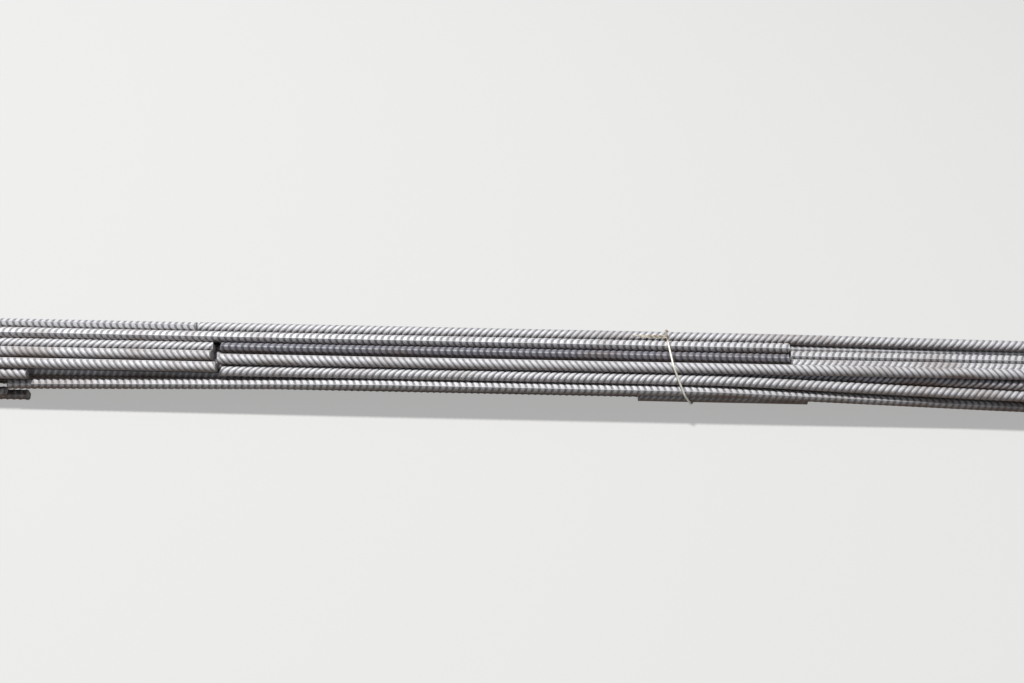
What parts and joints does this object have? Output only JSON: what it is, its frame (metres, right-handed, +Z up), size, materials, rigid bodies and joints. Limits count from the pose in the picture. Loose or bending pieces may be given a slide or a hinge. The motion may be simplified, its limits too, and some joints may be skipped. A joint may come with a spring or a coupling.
{
  "type": "rebar bundle",
  "caption": "Bundle of ribbed steel reinforcing bars, some laid end to end, held by twisted tie wires.",
  "frame": {"origin": "on the floor under the middle of the bundle", "axes": "+X along the bars, +Z up, -Y towards the side that the picture shows"},
  "size_m": [3, 0.0839, 0.0724],
  "materials": {
    "bar_steel": "hot-rolled ribbed steel with worn mill scale and a little rust",
    "tie_wire": "annealed wire, pale where it is rubbed and brown where it is twisted"
  },
  "bodies": {
    "root": {"bar_1_1": "bar_steel", "bar_1_2": "bar_steel", "bar_1_3": "bar_steel", "bar_1_4": "bar_steel", "bar_2_1_left": "bar_steel", "bar_2_2": "bar_steel", "bar_2_3": "bar_steel", "bar_2_4": "bar_steel", "bar_2_5": "bar_steel", "bar_3_1_left": "bar_steel", "bar_3_1_middle": "bar_steel", "bar_3_2": "bar_steel", "bar_3_3": "bar_steel", "bar_3_4": "bar_steel", "bar_3_5": "bar_steel", "bar_3_6": "bar_steel", "bar_4_1": "bar_steel", "bar_4_1_left": "bar_steel", "bar_4_2": "bar_steel", "bar_4_3": "bar_steel", "bar_4_4": "bar_steel", "bar_4_5": "bar_steel", "bar_4_6": "bar_steel", "bar_4_7": "bar_steel", "bar_5_1": "bar_steel", "bar_5_1_left": "bar_steel", "bar_5_2": "bar_steel", "bar_5_3": "bar_steel", "bar_5_4": "bar_steel", "bar_5_5": "bar_steel", "bar_5_6": "bar_steel", "bar_back_crown": "bar_steel", "bar_back_crown_left": "bar_steel", "bar_back_edge": "bar_steel", "bar_back_top": "bar_steel", "bar_crown": "bar_steel", "bar_hollow_left": "bar_steel", "bar_hollow_short": "bar_steel", "bar_low_crown": "bar_steel", "bar_low_hollow": "bar_steel", "bar_raised_front": "bar_steel", "bar_raised_shoulder": "bar_steel", "bar_shoulder": "bar_steel", "tie_wire_1": "tie_wire", "tie_wire_2": "tie_wire", "tie_wire_3": "tie_wire"}
  },
  "joints": []
}
